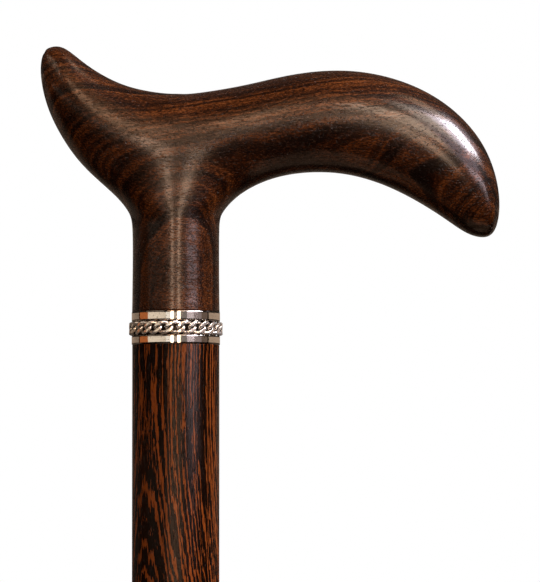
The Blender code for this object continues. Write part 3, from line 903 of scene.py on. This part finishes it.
black_rubber = finish("moulded_rubber", {"Specular IOR Level": 0.4}, rubber)
ferrule_mesh = turned("rubber_ferrule", filleted(ferrule_corners()), FERRULE_SIDES)
placed("rubber_ferrule", ferrule_mesh, black_rubber, "ferrule", "ferrule_rubber", "ferrule")

# Studio. A pale floor below the cane, which is shown held, and a white backdrop. Cool soft boxes and
# windows stand on the right, warm panels and narrow strips on either side of the camera, and a
# cream window on the left.

FLOOR_Z = -0.040
FLOOR_RADIUS = 0.45
LAMP_TARGET = Vector((0.02, 0.0, 0.88))
LAMP_DISTANCE = 1.3
CARD_ELEVATION = 0.7  # degrees
CARD_HEIGHT = 2.6
BAND_LEVEL = 0.0445  # rise of the view that the bands mirror


def lamp(name, azimuth, elevation, width, height, radiance, color):
    """Soft rectangle of light, placed and sized in degrees as the handle sees it. Azimuth is 0 at
    the camera and grows to the right. Its radiance is what a mirror shows of it."""
    size = [2 * LAMP_DISTANCE * math.tan(math.radians(angle) / 2) for angle in (width, height)]
    light = bpy.data.lights.new(name, "AREA")
    light.shape = "RECTANGLE"
    light.size, light.size_y = size
    light.energy = radiance * math.pi * size[0] * size[1]
    light.color = color
    a, e = math.radians(azimuth), math.radians(elevation)
    away = Vector((math.sin(a) * math.cos(e), -math.cos(a) * math.cos(e), math.sin(e)))
    piece = bpy.data.objects.new(name, light)
    piece.location = LAMP_TARGET + away * LAMP_DISTANCE
    piece.rotation_euler = away.to_track_quat("Z", "Y").to_euler()
    piece.visible_camera = False
    bpy.context.scene.collection.objects.link(piece)


lamp("softbox", 76, 39, 24, 18, 30.0, (0.84, 0.86, 1.0))
lamp("softbox_end", 56, 38, 17, 20, 9.0, (0.90, 0.84, 1.0))
lamp("softbox_top", 75, 57, 20, 18, 2.2, (1.0, 0.66, 0.42))
lamp("softbox_side", 104, 39, 21, 18, 1.2, (1.0, 0.82, 0.94))
lamp("second_box", 37, 38, 20, 20, 5.2, (1.0, 0.86, 0.74))
lamp("window_high", 42, 20, 36, 16, 1.7, (0.92, 0.76, 0.95))
lamp("window_low", 45, 6.5, 28, 5, 7.4, (1.0, 0.86, 0.98))
lamp("top_panel", 0, 39, 22, 18, 0.5, (1.0, 0.52, 0.26))
lamp("right_panel", 14, 20, 17, 17, 7.0, (1.0, 0.76, 0.58))
lamp("left_panel", -14, 20, 17, 17, 3.4, (1.0, 0.60, 0.37))
lamp("left_strip", -9.5, 1, 6, 14, 6.8, (1.0, 0.70, 0.50))
lamp("right_strip", 8, 1, 7, 14, 6.6, (1.0, 0.70, 0.50))
lamp("left_window", -62, 30, 50, 16, 1.3, (1.0, 0.80, 0.62))

# Cards level with the collar, which shows them in its bands, from the left round to the right.
for start, end, radiance, color in (
    (-107, -77, 0.42, (1.0, 0.30, 0.09)),
    (-77, -26, 0.85, (1.0, 0.86, 0.69)),
    (-26, -13, 1.05, (1.0, 0.94, 0.84)),
    (-6, 3, 0.48, (1.0, 0.88, 0.78)),
    (12, 28, 0.22, (1.0, 0.88, 0.80)),
    (29, 48, 0.62, (1.0, 0.86, 0.90)),
    (48, 71, 0.28, (1.0, 0.80, 0.80)),
    (71, 92, 0.15, (1.0, 0.70, 0.56)),
):
    middle, width = (start + end) / 2, end - start
    lamp(f"card_{start}", middle, CARD_ELEVATION, width, CARD_HEIGHT, radiance, color)


def light_room():
    """White to the camera. What metal and lacquer mirror of it, and what fills the shadows, is set
    apart: x, y and z give the direction, with y away from the camera."""
    world = bpy.data.worlds.new("studio")
    bpy.context.scene.world = world
    world.use_nodes = True
    tree = world.node_tree
    background = tree.nodes["Background"]
    start = Wire(tree)
    x, y, z = start.node("ShaderNodeTexCoord", output="Generated").split()
    seen = start.node("ShaderNodeLightPath", output="Is Camera Ray")
    mirrored = start.node("ShaderNodeLightPath", output="Is Glossy Ray")
    through = start.node("ShaderNodeLightPath", output="Is Transmission Ray")
    behind = (y + x * 0.13).rise(0.235, 0.26)
    level = 1 - (z - BAND_LEVEL).math("ABSOLUTE").rise(0.006, 0.020)
    backdrop = behind * level * (x * 0.10 + 0.36) + z.rise(0.10, 0.30) * 0.04
    below = (0.0 - z).rise(0.03, 0.09) * (1 - (0.0 - z).rise(0.40, 0.60))
    backdrop = backdrop + y.rise(0.10, 0.40) * below * 0.13
    fill = y.rise(0.15, 0.9) * z.rise(-0.5, 0.3) * 1.9 + (0.0 - y).rise(0.0, 1.0) * 0.14
    direct = seen.math("MAXIMUM", through)
    strength = direct + (1 - direct) * (mirrored * backdrop + (1 - mirrored) * fill)
    tree.links.new(strength.socket, background.inputs["Strength"])
    warmth = (mirrored * (1 - direct)).tint((1, 1, 1), (1.0, 0.74, 0.55))
    tree.links.new(warmth.socket, background.inputs["Color"])


def pale_floor():
    """Matt grey which glows to the camera and fades into the white round its edge."""
    material = bpy.data.materials.new("pale_floor")
    material.use_nodes = True
    tree = material.node_tree
    tree.nodes.remove(tree.nodes["Principled BSDF"])
    start = Wire(tree)
    seen = start.node("ShaderNodeLightPath", output="Is Camera Ray")
    place = start.node("ShaderNodeTexCoord", output="Object")
    edge = place.node("ShaderNodeVectorMath", {"operation": "LENGTH"}, {0: place}, "Value")
    mirrored = start.node("ShaderNodeLightPath", output="Is Glossy Ray")
    grey = mirrored.tint((0.55, 0.55, 0.55), (0.22, 0.15, 0.10))
    matt = start.node("ShaderNodeBsdfDiffuse", {}, {"Color": grey})
    glow = start.node("ShaderNodeEmission", {}, {"Strength": seen * 0.62})
    white = start.node("ShaderNodeEmission", {}, {"Strength": 1.0})
    lit = start.node("ShaderNodeAddShader", {}, {0: matt, 1: glow})
    far = seen * edge.rise(FLOOR_RADIUS * 0.6, FLOOR_RADIUS * 0.98)
    surface = start.node("ShaderNodeMixShader", {}, {0: far, 1: lit, 2: white})
    tree.links.new(surface.socket, tree.nodes["Material Output"].inputs["Surface"])
    return material


light_room()
shape = bmesh.new()
bmesh.ops.create_circle(shape, cap_ends=True, segments=96, radius=FLOOR_RADIUS)
floor_mesh = bpy.data.meshes.new("floor")
shape.to_mesh(floor_mesh)
shape.free()
floor = bpy.data.objects.new("floor", floor_mesh)
floor.location.z = FLOOR_Z
bpy.context.scene.collection.objects.link(floor)
floor_mesh.materials.append(pale_floor())

# Camera. Far off with a long lens, a little below the collar and looking slightly up at the handle.

FRAME_HEIGHT = 0.1589  # of the view, at the cane
CAMERA_DISTANCE = 1.5
CAMERA_TILT = math.radians(2.9)
VIEW_CENTRE = Vector((0.0257, 0.0, 0.8470))

lens = bpy.data.cameras.new("camera")
lens.lens = lens.sensor_width * CAMERA_DISTANCE / FRAME_HEIGHT
camera = bpy.data.objects.new("camera", lens)
look = Vector((0, math.cos(CAMERA_TILT), math.sin(CAMERA_TILT)))
camera.location = VIEW_CENTRE - look * CAMERA_DISTANCE
camera.rotation_euler = look.to_track_quat("-Z", "Y").to_euler()
bpy.context.scene.collection.objects.link(camera)
bpy.context.scene.camera = camera
bpy.context.scene.view_settings.view_transform = "Standard"
